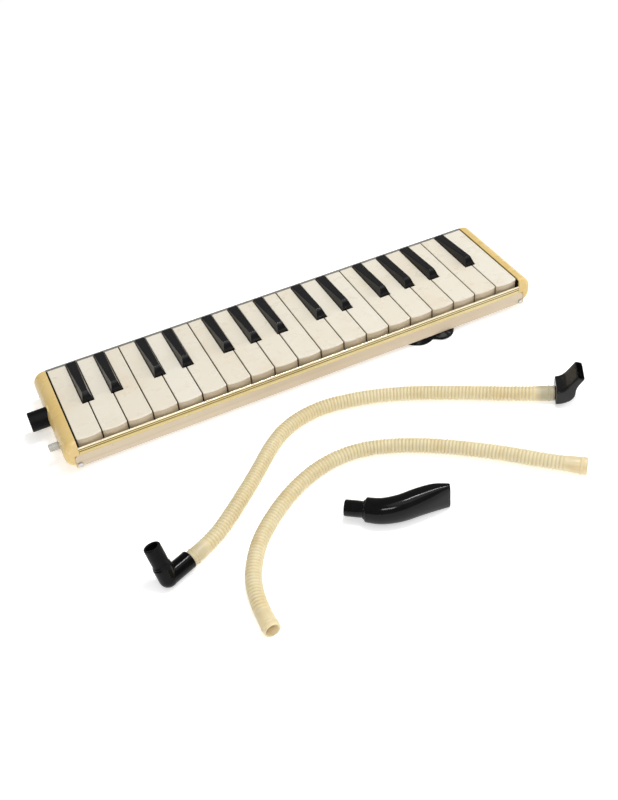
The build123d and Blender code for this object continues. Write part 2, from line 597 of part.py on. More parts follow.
# ---- hand strap -------------------------------------------------------------------------------
# a slack band under the treble half; its folds show in front of the body
STRAP_Z = (1.4, 3.9)
STRAP_ENDS = (46.0, 176.0)
with BuildPart() as hand_strap:
    with BuildSketch(Plane.XY.offset(STRAP_Z[0])):
        with BuildLine():
            Polyline((STRAP_ENDS[0], -11), (78, -11), (92, -50), (98, -55), (112, -53.5),
                     (118, -57.5), (130, -57.5), (137, -48), (148, -11), (STRAP_ENDS[1], -11),
                     (STRAP_ENDS[1], 11), (STRAP_ENDS[0], 11), close=True)
        make_face()
        fillet(vertices(), 2.0)
    extrude(amount=STRAP_Z[1] - STRAP_Z[0])
hand_strap.part.label = "hand_strap"
export_step(hand_strap.part, "parts/hand_strap.step")

BRACKET_SPAN = 13.0
with BuildPart() as strap_brackets:
    for x in (STRAP_ENDS[0] + 6, STRAP_ENDS[1] - 6):
        strip(x, 4, (-BRACKET_SPAN, BRACKET_SPAN), (0.4, BODY_BASE))
        strip(x, 5, (1.2 - BRACKET_SPAN, BRACKET_SPAN - 1.2), (1.2, BODY_BASE), mode=Mode.SUBTRACT)
strap_brackets.part.label = "strap_brackets"
export_step(strap_brackets.part, "parts/strap_brackets.step")

# ---- hoses ------------------------------------------------------------------------------------
# routes on the table, x and y of each corner
PLAYING_ROUTE = [(-158.8, -184.3), (-137.8, -175.4), (-116, -157.8), (-87.6, -132.3), (-58.5, -103),
                 (-36.9, -91.2), (-11.5, -86.7), (14.6, -91), (41.6, -99.5), (70.6, -114),
                 (104, -134.5), (132, -152.5), (157.3, -166.9)]
SPARE_ROUTE = [(131.3, -245.8), (110.5, -228), (86.5, -203.5), (56, -178), (26.3, -158), (-4.4, -145.5),
               (-34.2, -145.5), (-63.7, -156.5), (-91.3, -175.4), (-115, -198.6), (-132.5, -235.3),
               (-131, -267.2)]
RADIUS_SHARE = 0.45


def corner_radii(points):
    """The radius of each corner, as large as its two runs allow."""
    radii = []
    for before, corner, after in zip(points, points[1:], points[2:]):
        run_in = Vector(*corner) - Vector(*before)
        run_out = Vector(*after) - Vector(*corner)
        half_turn = radians(run_in.get_angle(run_out)) / 2
        radii.append(RADIUS_SHARE * min(run_in.length, run_out.length) / tan(half_turn))
    return radii


def hose(points, name):
    """A plain tube along the route, printed with its radii and its length."""
    radii = corner_radii(points)
    with BuildPart() as tube:
        with BuildLine() as route:
            FilletPolyline(*[(x, y, HOSE_Z) for x, y in points], radius=radii)
        line = route.wires()[0]
        with BuildSketch(Plane(origin=line @ 0, z_dir=line % 0)):
            Circle(HOSE_R)
            Circle(HOSE_BORE_R, mode=Mode.SUBTRACT)
        sweep(path=line)
    section = 3.14159265 * (HOSE_R**2 - HOSE_BORE_R**2)
    print(name, "length", round(line.length, 1), "radii", [round(radius) for radius in radii])
    print(name, "volume", round(tube.part.volume), "section x length", round(section * line.length))
    return tube


playing_hose = hose(PLAYING_ROUTE, "playing_hose")
playing_hose.part.label = "playing_hose"
export_step(playing_hose.part, "parts/playing_hose.step")

spare_hose = hose(SPARE_ROUTE, "spare_hose")
spare_hose.part.label = "spare_hose"
export_step(spare_hose.part, "parts/spare_hose.step")

# ---- elbow ------------------------------------------------------------------------------------
# the elbow has rolled about its leg, so its arm and spigot lean back over the table
leg_out = (Vector(*PLAYING_ROUTE[1]) - Vector(*PLAYING_ROUTE[0])).normalized()
leg_end = Vector(*PLAYING_ROUTE[0], HOSE_Z)
elbow_corner = leg_end - leg_out * ELBOW_LEG + Vector(0, 0, ELBOW_AXIS_Z - HOSE_Z)
leg_side = Vector(-leg_out.Y, leg_out.X, 0)
arm_out = leg_side * sin(radians(ELBOW_ROLL)) + Vector(0, 0, cos(radians(ELBOW_ROLL)))
arm_plane = Plane(origin=elbow_corner, x_dir=leg_out, z_dir=arm_out)
arm_tip = Axis(elbow_corner, arm_out)
with BuildPart() as hose_elbow:
    with BuildSketch(arm_plane.offset(-ELBOW_ARM_R)):
        Circle(ELBOW_ARM_R)
    extrude(amount=ELBOW_ARM_R + ELBOW_STEP)
    fillet(edges().group_by(arm_tip)[0], ELBOW_ARM_R - 0.5)
    chamfer(edges().group_by(arm_tip)[-1], 0.5)
    with BuildSketch(Plane(origin=elbow_corner, z_dir=leg_out)):
        Circle(ELBOW_LEG_R)
    extrude(amount=ELBOW_LEG)
    with BuildSketch(arm_plane.offset(ELBOW_STEP - 1)):
        Circle(SPIGOT_R)
    extrude(amount=ELBOW_SPIGOT + 1)
    with BuildSketch(arm_plane.offset(-1)):
        Circle(4.4)
    extrude(amount=ELBOW_STEP + ELBOW_SPIGOT + 1, mode=Mode.SUBTRACT)
    # the spigot inside the hose's cuff, and the air way through it
    with BuildSketch(Plane(origin=leg_end, z_dir=leg_out)):
        Circle(CUFF_SPIGOT_R)
    extrude(amount=CUFF_SPIGOT)
    with BuildSketch(Plane(origin=leg_end - leg_out * ELBOW_LEG, z_dir=leg_out)):
        Circle(3.4)
    extrude(amount=ELBOW_LEG + CUFF_SPIGOT, mode=Mode.SUBTRACT)
hose_elbow.part.label = "hose_elbow"
export_step(hose_elbow.part, "parts/hose_elbow.step")

# ---- flat mouthpiece --------------------------------------------------------------------------
# a duck-bill that rises from the hose's end; its profile is drawn in distance along and height
FLAT_WIDTH = 21.0
flat_start = Vector(*PLAYING_ROUTE[-1], HOSE_Z)
flat_out = (Vector(*PLAYING_ROUTE[-1]) - Vector(*PLAYING_ROUTE[-2])).normalized()
flat_across = Vector(flat_out.Y, -flat_out.X, 0)


def flat_plane(offset):
    """The side profile's plane, offset across the mouthpiece."""
    return Plane(origin=flat_start + flat_across * offset, x_dir=flat_out, z_dir=flat_across)


with BuildPart() as flat_mouthpiece:
    with BuildSketch(flat_plane(-FLAT_WIDTH / 2)):
        with BuildLine():
            Polyline((0.6, 10), (0.2, 6), (0.2, -4))
            Spline((0.2, -4), (10, -1.4), (15.2, 4), (15.4, 11), (20.8, 22),
                   tangents=((1, 0.1), (0.45, 1)))
            Line((20.8, 22), (15, 23.5))
            Spline((15, 23.5), (10.5, 17), (6, 11.9), (0.6, 10),
                   tangents=((-0.5, -1), (-1, -0.1)))
        make_face()
    extrude(amount=FLAT_WIDTH)
    fillet(edges().filter_by(Axis(flat_start, flat_across)), 0.5)
    with BuildSketch(flat_plane(-FLAT_WIDTH / 2 + 1.6)):
        with BuildLine():
            Polyline((2, 0.5), (9, 1.5), (13, 5), (13.2, 11.3), (20.0, 25), (17.0, 25.5),
                     (8, 12), (2, 8.2), close=True)
        make_face()
    extrude(amount=FLAT_WIDTH - 3.2, mode=Mode.SUBTRACT)
    with BuildSketch(Plane(origin=flat_start + flat_out * 1.6, z_dir=-flat_out)):
        Circle(CUFF_SPIGOT_R)
    extrude(amount=CUFF_SPIGOT + 1.6)
    with BuildSketch(Plane(origin=flat_start + flat_out * 4, z_dir=-flat_out)):
        Circle(3.4)
    extrude(amount=CUFF_SPIGOT + 4, mode=Mode.SUBTRACT)
flat_mouthpiece.part.label = "flat_mouthpiece"
export_step(flat_mouthpiece.part, "parts/flat_mouthpiece.step")

# ---- short mouthpiece -------------------------------------------------------------------------
# an S-shaped mouthpiece that lies on its side: stations along its middle line with the heading,
# half thickness across and half height there
SHORT_STATIONS = [
    ((-31.0, -205.8), -37, 8.7, 9.2),
    ((-22.0, -213.1), -28, 8.8, 9.8),
    ((-9.5, -217.7), -12, 8.6, 10.4),
    ((5.0, -219.3), -4, 8.1, 10.9),
    ((17.0, -221.5), -13, 6.4, 11.3),
    ((27.2, -225.0), -22, 2.9, 11.2),
]
SHORT_WALL = 1.4


def short_section(station, wall):
    """An upright oval section across the mouthpiece's line."""
    (x, y), heading, thick, high = station
    out = Vector(cos(radians(heading)), sin(radians(heading)), 0)
    with BuildSketch(Plane(origin=(x, y, high + 0.1), x_dir=(out.Y, -out.X, 0), z_dir=out)) as oval:
        Ellipse(thick - wall, high - wall)
    return oval.sketch


with BuildPart() as short_bore:
    loft([short_section(station, SHORT_WALL) for station in SHORT_STATIONS])

with BuildPart() as short_mouthpiece:
    loft([short_section(station, 0) for station in SHORT_STATIONS])
    add(short_bore.part, mode=Mode.SUBTRACT)
    (start_x, start_y), start_heading, _, start_high = SHORT_STATIONS[0]
    start_out = Vector(cos(radians(start_heading)), sin(radians(start_heading)), 0)
    start = Vector(start_x, start_y, start_high + 0.1)
    with BuildSketch(Plane(origin=start + start_out, z_dir=-start_out)):
        Circle(8.2)
        Circle(4.4, mode=Mode.SUBTRACT)
    extrude(amount=1.2)
    with BuildSketch(Plane(origin=start + start_out, z_dir=-start_out)):
        Circle(SPIGOT_R)
        Circle(4.4, mode=Mode.SUBTRACT)
    extrude(amount=SPIGOT_LENGTH + 1)
short_mouthpiece.part.label = "short_mouthpiece"
export_step(short_mouthpiece.part, "parts/short_mouthpiece.step")
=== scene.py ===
# %% [markdown]
# # A 32-key melodica with its hoses and mouthpieces
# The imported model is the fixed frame: every key, cap and cover keeps its place and its size.
# This lesson gives those parts their finishes and adds what a solid modeller can't: two soft
# corrugated hoses, a slack strap and the rounded black mouthpieces. Everything is in metres.

# %% Load the frame
import json
import math
import random

import bmesh
import bpy
from mathutils import Matrix, Vector


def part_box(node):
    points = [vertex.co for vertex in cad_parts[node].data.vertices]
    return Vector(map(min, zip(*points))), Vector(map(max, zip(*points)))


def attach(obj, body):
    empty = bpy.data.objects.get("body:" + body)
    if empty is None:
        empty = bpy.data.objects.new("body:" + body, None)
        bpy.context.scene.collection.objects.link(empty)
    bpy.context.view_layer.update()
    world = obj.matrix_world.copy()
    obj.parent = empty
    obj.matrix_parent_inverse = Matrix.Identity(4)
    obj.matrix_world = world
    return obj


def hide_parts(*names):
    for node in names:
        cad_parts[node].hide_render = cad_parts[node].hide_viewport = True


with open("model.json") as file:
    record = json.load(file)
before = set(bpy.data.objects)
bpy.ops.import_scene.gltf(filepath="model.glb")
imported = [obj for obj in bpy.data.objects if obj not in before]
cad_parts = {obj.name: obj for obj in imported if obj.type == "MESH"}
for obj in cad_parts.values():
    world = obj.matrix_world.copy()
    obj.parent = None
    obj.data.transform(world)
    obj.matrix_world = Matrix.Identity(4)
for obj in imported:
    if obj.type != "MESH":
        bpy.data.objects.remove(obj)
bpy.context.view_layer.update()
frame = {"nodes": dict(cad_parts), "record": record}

MM = 0.001
UP = Vector((0, 0, 1))
rng = random.Random(32)

# %% [markdown]
# ## Camera
# The camera looks down on the table from the left front corner, with a small roll. Its axes are
# made from a heading, a tilt and a roll, because three angles read better than a matrix.

# %% Camera
CAMERA_PLACE = Vector((-0.23225, -0.66127, 0.55545))
HEADING = math.radians(20.29)
TILT = math.radians(41.245)
ROLL = math.radians(-6.979)
LENS = 46.04


def camera_axes(heading, tilt, roll):
    """Right, up and back vectors of a camera that looks along heading and down by tilt."""
    forward = Vector((
        math.sin(heading) * math.cos(tilt),
        math.cos(heading) * math.cos(tilt),
        -math.sin(tilt),
    ))
    right = Vector((math.cos(heading), -math.sin(heading), 0))
    up = right.cross(forward)
    rolled_right = math.cos(roll) * right + math.sin(roll) * up
    rolled_up = -math.sin(roll) * right + math.cos(roll) * up
    return rolled_right, rolled_up, -forward


camera_data = bpy.data.cameras.new("camera")
camera_data.lens = LENS
camera_data.sensor_width = 36
camera = bpy.data.objects.new("camera", camera_data)
bpy.context.scene.collection.objects.link(camera)
turn = Matrix(camera_axes(HEADING, TILT, ROLL)).transposed().to_4x4()
camera.matrix_world = Matrix.Translation(CAMERA_PLACE) @ turn
bpy.context.scene.camera = camera
print("camera", tuple(round(v, 4) for v in camera.location))

# %% [markdown]
# ## Table and light
# A pale floor, a dim even surround, a wide soft sun for the ceiling and three rectangular lamps.
# Polished black plastic shows only what it reflects, so the dim surround keeps it black. The
# narrow lamp overhead draws the long streaks on the elbow and the short mouthpiece, and the one
# near the camera adds a short one. The floor glows a little, so that it stays white by itself.

# %% Table and light
FLOOR_HALF = 6.0
SURROUND_STRENGTH = 0.26
CEILING_STRENGTH = 0.72
CEILING_WIDTH = math.radians(50)
FLOOR_GLOW = 0.4


def link_mesh(name, bm):
    """Turns a bmesh into a linked object."""
    mesh = bpy.data.meshes.new(name)
    bm.to_mesh(mesh)
    bm.free()
    obj = bpy.data.objects.new(name, mesh)
    bpy.context.scene.collection.objects.link(obj)
    return obj


bm = bmesh.new()
bmesh.ops.create_grid(bm, x_segments=1, y_segments=1, size=FLOOR_HALF)
floor = link_mesh("floor", bm)

world = bpy.data.worlds.new("surround")
world.use_nodes = True
world.node_tree.nodes["Background"].inputs["Color"].default_value = (1.0, 1.0, 1.0, 1)
world.node_tree.nodes["Background"].inputs["Strength"].default_value = SURROUND_STRENGTH
bpy.context.scene.world = world
bpy.context.scene.view_settings.view_transform = "Standard"


def soft_lamp(name, place, aim, size, power):
    """A rectangular area lamp at place that points at aim."""
    data = bpy.data.lights.new(name, "AREA")
    data.shape = "RECTANGLE"
    data.size, data.size_y = size
    data.energy = power
    lamp = bpy.data.objects.new(name, data)
    lamp.location = place
    lamp.rotation_euler = (Vector(aim) - Vector(place)).to_track_quat("-Z", "Y").to_euler()
    bpy.context.scene.collection.objects.link(lamp)


sun_data = bpy.data.lights.new("ceiling", "SUN")
sun_data.energy = CEILING_STRENGTH
sun_data.angle = CEILING_WIDTH
ceiling = bpy.data.objects.new("ceiling", sun_data)
ceiling.rotation_euler = (math.radians(12), math.radians(14), 0)
bpy.context.scene.collection.objects.link(ceiling)
soft_lamp("camera_lamp", (-0.50, -1.05, 1.10), (0, -0.15, 0), (0.42, 0.26), 6)
soft_lamp("strip_lamp", (0.28, -0.10, 1.25), (0, -0.15, 0), (0.11, 0.34), 6)
soft_lamp("side_lamp", (1.3, -0.1, 0.75), (0, -0.1, 0), (0.3, 0.9), 5)

# %% [markdown]
# ## Shader helpers
# Every finish is a Principled shader with noise on its colour, its roughness and its bump.
# Object coordinates are in metres here, so a noise scale of 100 has features about 10 mm wide.

# %% Shader helpers
class Finish:
    """A material under construction: a Principled shader and short calls that add nodes."""

    def __init__(self, name, color, roughness, metallic=0.0, specular=0.5):
        self.material = bpy.data.materials.new(name)
        self.material.use_nodes = True
        self.tree = self.material.node_tree
        self.shader = self.tree.nodes["Principled BSDF"]
        self.color = (*color, 1)
        self.set("Base Color", self.color)
        self.set("Roughness", roughness)
        self.set("Metallic", metallic)
        self.set("Specular IOR Level", specular)
        self.material.diffuse_color = self.color
        self.place = self.tree.nodes.new("ShaderNodeTexCoord").outputs["Object"]

    def set(self, socket, value):
        self.shader.inputs[socket].default_value = value

    def link(self, source, target):
        self.tree.links.new(source, target)

    def stretch(self, scale):
        """Object coordinates stretched along an axis, for brushed or drawn surfaces."""
        mapping = self.tree.nodes.new("ShaderNodeMapping")
        mapping.inputs["Scale"].default_value = scale
        self.link(self.place, mapping.inputs["Vector"])
        return mapping.outputs["Vector"]

    def noise(self, scale, detail=3.0, vector=None, roughness=0.5):
        texture = self.tree.nodes.new("ShaderNodeTexNoise")
        texture.inputs["Scale"].default_value = scale
        texture.inputs["Detail"].default_value = detail
        texture.inputs["Roughness"].default_value = roughness
        self.link(vector or self.place, texture.inputs["Vector"])
        return texture.outputs["Fac"]

    def axis(self, letter):
        """One object coordinate, in metres."""
        split = self.tree.nodes.new("ShaderNodeSeparateXYZ")
        self.link(self.place, split.inputs["Vector"])
        return split.outputs[letter]

    def sideways(self, letter):
        """1 on faces that look along one of the object's axes, either way, and 0 elsewhere."""
        split = self.tree.nodes.new("ShaderNodeSeparateXYZ")
        texture = self.tree.nodes.new("ShaderNodeTexCoord")
        self.link(texture.outputs["Normal"], split.inputs["Vector"])
        size = self.math("ABSOLUTE", split.outputs[letter], 0)
        return self.window(size, 0.8, 0.95)

    def attribute(self, name):
        reader = self.tree.nodes.new("ShaderNodeAttribute")
        reader.attribute_name = name
        return reader.outputs["Fac"]

    def window(self, value, low, high, bottom=0.0, top=1.0):
        """Maps value from low..high to bottom..top and holds it there outside."""
        ranged = self.tree.nodes.new("ShaderNodeMapRange")
        for socket, number in (("From Min", low), ("From Max", high), ("To Min", bottom), ("To Max", top)):
            ranged.inputs[socket].default_value = number
        self.link(value, ranged.inputs["Value"])
        return ranged.outputs["Result"]

    def math(self, operation, first, second):
        """A math node, each input a socket or a number."""
        maths = self.tree.nodes.new("ShaderNodeMath")
        maths.operation = operation
        for slot, value in enumerate((first, second)):
            if isinstance(value, (int, float)):
                maths.inputs[slot].default_value = value
            else:
                self.link(value, maths.inputs[slot])
        return maths.outputs["Value"]

    def tint(self, color, amount):
        """Mixes another colour over the base colour by a 0..1 socket."""
        mix = self.tree.nodes.new("ShaderNodeMix")
        mix.data_type = "RGBA"
        base = self.shader.inputs["Base Color"]
        if base.is_linked:
            self.link(base.links[0].from_socket, mix.inputs["A"])
        else:
            mix.inputs["A"].default_value = self.color
        mix.inputs["B"].default_value = (*color, 1)
        self.link(amount, mix.inputs["Factor"])
        self.link(mix.outputs["Result"], base)

    def vary_roughness(self, value, low, high):
        self.link(self.window(value, 0.3, 0.7, low, high), self.shader.inputs["Roughness"])

    def bump(self, height, distance, strength=1.0):
        """Adds a bump whose height is in metres."""
        node = self.tree.nodes.new("ShaderNodeBump")
        node.inputs["Distance"].default_value = distance
        node.inputs["Strength"].default_value = strength
        self.link(height, node.inputs["Height"])
        normal = self.shader.inputs["Normal"]
        if normal.is_linked:
            self.link(normal.links[0].from_socket, node.inputs["Normal"])
        self.link(node.outputs["Normal"], normal)


# %% [markdown]
# ## Moulded plastics
# The caps are warm cream with faint handling marks. Injection mouldings aren't mirror flat, so a
# very long, very shallow wave bends their reflections.

# %% Cream plastic
def cream_plastic():
    finish = Finish("cream_plastic", (0.735, 0.53, 0.20), 0.24, specular=0.5)
    finish.tint((0.70, 0.475, 0.16), finish.window(finish.noise(26, 4), 0.42, 0.75, 0, 0.6))
    finish.tint((0.83, 0.65, 0.34), finish.window(finish.noise(11, 2), 0.5, 0.8, 0, 0.5))
    finish.tint((0.30, 0.20, 0.09), finish.window(finish.noise(420, 2), 0.72, 0.80, 0, 0.35))
    finish.vary_roughness(finish.noise(70, 5), 0.18, 0.34)
    finish.bump(finish.noise(45, 1), 0.00012, 0.5)
    finish.bump(finish.noise(1900, 2), 0.00001, 0.6)
    return finish.material


# %% [markdown]
# ## Painted cover
# The front cover is sheet steel sprayed cream. Paint on a drawn sheet keeps faint lines along its
# length, and years of handling leave small dark chips, so both are thin noises over the colour.

# %% Cream paint on sheet steel
def cream_paint():
    finish = Finish("cream_paint", (0.645, 0.535, 0.385), 0.36, specular=0.5)
    finish.tint((0.56, 0.44, 0.30), finish.window(finish.noise(9, 3), 0.45, 0.75, 0, 0.55))
    drawn = finish.stretch((5, 260, 260))
    finish.tint((0.50, 0.40, 0.28), finish.window(finish.noise(1.0, 3, drawn), 0.55, 0.85, 0, 0.5))
    finish.tint((0.20, 0.14, 0.08), finish.window(finish.noise(520, 2), 0.74, 0.80, 0, 0.55))
    finish.vary_roughness(finish.noise(60, 4), 0.3, 0.46)
    finish.bump(finish.noise(900, 3), 0.00002, 0.6)
    return finish.material


# %% [markdown]
# ## Gold trim
# A drawn and anodised strip runs above the cover. Its colour is banded by height: a painted
# highlight along the bead on top, a band, and a darker olive foot, with painted shade in the two
# grooves that part them. The bands follow the height above the table, because the strip is level
# from end to end, so one coordinate is enough and no texture has to be painted.

# %% Gold anodised strip
GROOVE_SHADE_HEIGHTS = (0.0197, 0.0215)
BEAD_HIGHLIGHT_HEIGHTS = (0.0220, 0.0224)
FOOT_HEIGHT = (0.0195, 0.0191)


def gold_trim():
    finish = Finish("gold_trim", (0.72, 0.57, 0.26), 0.3, metallic=0.85)
    drawn = finish.stretch((12, 1800, 1800))
    streaks = finish.noise(1.0, 4, drawn)
    finish.tint((0.56, 0.41, 0.15), finish.window(streaks, 0.4, 0.75, 0, 0.45))
    finish.tint((0.86, 0.76, 0.50), finish.window(finish.noise(8, 3), 0.45, 0.7, 0, 0.45))
    height = finish.axis("Z")
    # Painted highlight: the bead on top is tinted pale by its height, as if it caught the light.
    finish.tint((0.93, 0.86, 0.66), finish.window(height, *BEAD_HIGHLIGHT_HEIGHTS, 0, 0.85))
    finish.tint((0.47, 0.39, 0.19), finish.window(height, *FOOT_HEIGHT, 0, 0.6))
    # Painted shade: a dark line is tinted along each groove.
    for shaded_groove in GROOVE_SHADE_HEIGHTS:
        distance = finish.math("ABSOLUTE", finish.math("SUBTRACT", height, shaded_groove), 0)
        finish.tint((0.10, 0.07, 0.03), finish.window(distance, 0.0003, 0.0007, 0.75, 0))
    finish.vary_roughness(streaks, 0.2, 0.42)
    finish.bump(streaks, 0.00001, 0.4)
    return finish.material


# %% [markdown]
# ## Drawn metals
# The rear rail, the bottom plate, the reed plate and the reeds are all rolled or drawn, which
# leaves streaks along X. One recipe with a stretched noise serves them all in their own colours.

# %% Grey rail and bright steel
def drawn_metal(name, color, shade, roughness):
    """Metal drawn along X, with long streaks."""
    finish = Finish(name, color, roughness, metallic=1.0)
    drawn = finish.stretch((9, 900, 900))
    streaks = finish.noise(1.0, 4, drawn)
    finish.tint(shade, finish.window(streaks, 0.4, 0.75, 0, 0.7))
    finish.tint(shade, finish.window(finish.noise(20, 3), 0.5, 0.75, 0, 0.5))
    finish.vary_roughness(streaks, roughness - 0.08, roughness + 0.15)
    finish.bump(streaks, 0.00002, 0.5)
    return finish.material


# %% [markdown]
# ## Ivory keys
# Old white keys yellow unevenly and pick up faint brown marks near their front edge. Each key gets
# its own slight tone from its number, which is worked out from its place along the keyboard. Below
# the playing surface painted shade makes the plastic a darker beige, and more painted shade
# darkens the sides down into the gaps.

# %% Ivory keys
WHITE_PITCH = 0.021
first_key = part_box("white_key_01")
last_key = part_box("white_key_19")
keyboard_left = (first_key[0][0] + last_key[1][0]) / 2 - 9.5 * WHITE_PITCH
key_top = first_key[1][2]


def ivory_plastic():
    finish = Finish("ivory_plastic", (0.815, 0.765, 0.655), 0.3, specular=0.45)
    along = finish.axis("X")
    offset = finish.math("SUBTRACT", along, keyboard_left)
    number = finish.math("FLOOR", finish.math("DIVIDE", offset, WHITE_PITCH), 0)
    chance = finish.tree.nodes.new("ShaderNodeTexWhiteNoise")
    chance.noise_dimensions = "1D"
    finish.link(number, chance.inputs["W"])
    finish.tint((0.76, 0.67, 0.52), finish.window(chance.outputs["Value"], 0, 1, 0, 0.45))
    finish.tint((0.72, 0.61, 0.44), finish.window(finish.noise(38, 5, roughness=0.6), 0.5, 0.8, 0, 0.55))
    finish.tint((0.50, 0.35, 0.20), finish.window(finish.noise(150, 4), 0.66, 0.82, 0, 0.35))
    finish.tint((0.25, 0.15, 0.08), finish.window(finish.noise(700, 2), 0.74, 0.80, 0, 0.4))
    height = finish.axis("Z")
    # Painted shade: all faces below the playing surface are tinted darker beige.
    finish.tint((0.50, 0.39, 0.25), finish.window(height, key_top - 0.0011, key_top - 0.0019, 0, 0.8))
    # Painted shade in the gaps: faces that look along X darken below the top.
    gap_shade_depth = finish.window(height, key_top - 0.0004, key_top - 0.0012, 0, 0.8)
    finish.tint((0.20, 0.14, 0.08), finish.math("MULTIPLY", finish.sideways("X"), gap_shade_depth))
    finish.vary_roughness(finish.noise(90, 5), 0.22, 0.42)
    finish.bump(finish.noise(60, 2), 0.0001, 0.4)
    finish.bump(finish.noise(2200, 2), 0.00001, 0.6)
    return finish.material


# %% [markdown]
# ## Black finishes
# Polished black needs little colour: fine scratches and smudges in its roughness make it read as
# plastic. The same recipe, rougher, makes the moulded black of the socket and the key bed.

# %% Black finishes
BLACK = (0.004, 0.004, 0.0045)
GLOSS_BLACK = (0.002, 0.002, 0.0022)


def black_plastic(name, roughness, spread, color=BLACK, grain=0.00001, specular=0.17):
    finish = Finish(name, color, roughness, specular=specular)
    smudges = finish.noise(60, 6, roughness=0.65)
    finish.tint((0.012, 0.0115, 0.011), finish.window(smudges, 0.5, 0.85, 0, 0.5))
    finish.tint((0.05, 0.047, 0.045), finish.window(finish.noise(1100, 2), 0.74, 0.8, 0, 0.3))
    finish.vary_roughness(finish.noise(130, 6), roughness, roughness + spread)
    finish.bump(finish.noise(1600, 3), grain, 0.8)
    finish.bump(finish.noise(50, 1), 0.00008, 0.35)
    return finish


COLLAR_HEIGHT = (0.0178, 0.0188)


def elbow_black():
    """The elbow's spigot is worn matt above the collar, its lower body is polished."""
    finish = black_plastic("elbow_black", 0.1, 0.1, color=GLOSS_BLACK, specular=0.13)
    height = finish.axis("Z")
    worn = finish.window(height, *COLLAR_HEIGHT, 0.08, 0.4)
    patchy = finish.math("ADD", worn, finish.window(finish.noise(160, 5), 0.3, 0.7, -0.04, 0.08))
    finish.link(patchy, finish.shader.inputs["Roughness"])
    return finish.material


# %% [markdown]
# ## Soft hose plastic
# The hoses are pale yellow and let some light through, so they get a little subsurface light. The
# mesh carries two numbers that the shader reads: how deep a point lies between two rings, which
# sets the painted shade in the valleys, and how near it is to a black spigot inside the cuff.

# %% Soft hose plastic
def hose_plastic():
    finish = Finish("hose_plastic", (0.73, 0.61, 0.375), 0.34, specular=0.4)
    finish.set("Subsurface Weight", 0.35)
    finish.set("Subsurface Radius", (1.0, 0.75, 0.35))
    finish.set("Subsurface Scale", 0.003)
    finish.tint((0.83, 0.73, 0.50), finish.window(finish.noise(28, 3), 0.4, 0.7, 0, 0.7))
    finish.tint((0.66, 0.47, 0.20), finish.window(finish.noise(75, 4), 0.52, 0.8, 0, 0.5))
    # Painted shade: the hose is tinted darker down into the valleys between rings.
    finish.tint((0.58, 0.41, 0.17), finish.window(finish.attribute("valley_shade"), 0.2, 1, 0, 0.5))
    finish.tint((0.36, 0.34, 0.24), finish.window(finish.attribute("spigot"), 0, 1, 0, 0.75))
    finish.vary_roughness(finish.noise(200, 4), 0.28, 0.44)
    finish.bump(finish.noise(700, 3), 0.00003, 0.5)
    return finish.material


# %% [markdown]
# ## Rubber, felt and small mouldings
# The parts inside are seldom seen, but each still gets its own grain. The drain button is a
# slightly clear plastic, so it lets some light through.

# %% Rubber, felt and the drain button's plastic
def grained(name, color, shade, roughness, scale, height, specular=0.4, metallic=0.0):
    """A plain finish with one grain in its colour, roughness and bump."""
    finish = Finish(name, color, roughness, specular=specular, metallic=metallic)
    grain = finish.noise(scale, 4)
    finish.tint(shade, finish.window(grain, 0.4, 0.7, 0, 0.8))
    finish.vary_roughness(grain, roughness - 0.06, roughness + 0.08)
    finish.bump(grain, height, 0.8)
    return finish.material


def pale_plastic():
    finish = Finish("pale_plastic", (0.56, 0.55, 0.51), 0.22, specular=0.5)
    finish.set("Transmission Weight", 0.25)
    finish.tint((0.66, 0.65, 0.61), finish.window(finish.noise(300, 4), 0.4, 0.7, 0, 0.6))
    finish.vary_roughness(finish.noise(400, 3), 0.16, 0.32)
    finish.bump(finish.noise(1500, 2), 0.00001, 0.5)
    return finish.material


# %% [markdown]
# ## Finishes on the carried-over nodes
# One finish serves each material slot of the record, so a node finds its own by its slot.

# %% Give every node its finish
finishes = {
    "cream_plastic": cream_plastic(),
    "cream_paint": cream_paint(),
    "gold_trim": gold_trim(),
    "grey_rail": drawn_metal("grey_rail", (0.62, 0.60, 0.56), (0.50, 0.485, 0.455), 0.42),
    "steel": drawn_metal("steel", (0.58, 0.58, 0.59), (0.36, 0.36, 0.37), 0.3),
    "soft_rubber": grained("soft_rubber", (0.03, 0.03, 0.03), (0.05, 0.05, 0.05), 0.62, 900, 0.00003),
    "grey_moulding": grained("grey_moulding", (0.13, 0.13, 0.14), (0.17, 0.17, 0.18), 0.5, 600, 0.00002),
    "reed_metal": drawn_metal("reed_metal", (0.72, 0.72, 0.73), (0.5, 0.5, 0.52), 0.36),
    "reed_brass": drawn_metal("reed_brass", (0.74, 0.53, 0.23), (0.55, 0.36, 0.13), 0.28),
    "black_moulding": black_plastic("black_moulding", 0.4, 0.16, grain=0.00003, specular=0.1).material,
    "felt": grained("felt", (0.26, 0.05, 0.05), (0.36, 0.09, 0.08), 0.9, 1800, 0.0002, specular=0.1),
    "pale_plastic": pale_plastic(),
    "strap_vinyl": black_plastic("strap_vinyl", 0.24, 0.15, specular=0.1).material,
    "hose_plastic": hose_plastic(),
    "black_gloss": black_plastic("black_gloss", 0.1, 0.12, color=GLOSS_BLACK, specular=0.11).material,
    "ivory_plastic": ivory_plastic(),
    "black_key_plastic": black_plastic("black_key_plastic", 0.16, 0.14, specular=0.3).material,
}
slot_of = {part["node"]: part["material_slot"] for part in frame["record"]["subparts"]}


def wear(obj, material):
    """Replaces whatever material an object has with one."""
    obj.data.materials.clear()
    obj.data.materials.append(material)


for name, obj in frame["nodes"].items():
    wear(obj, finishes[slot_of[name]])
print("finished nodes", len(frame["nodes"]))

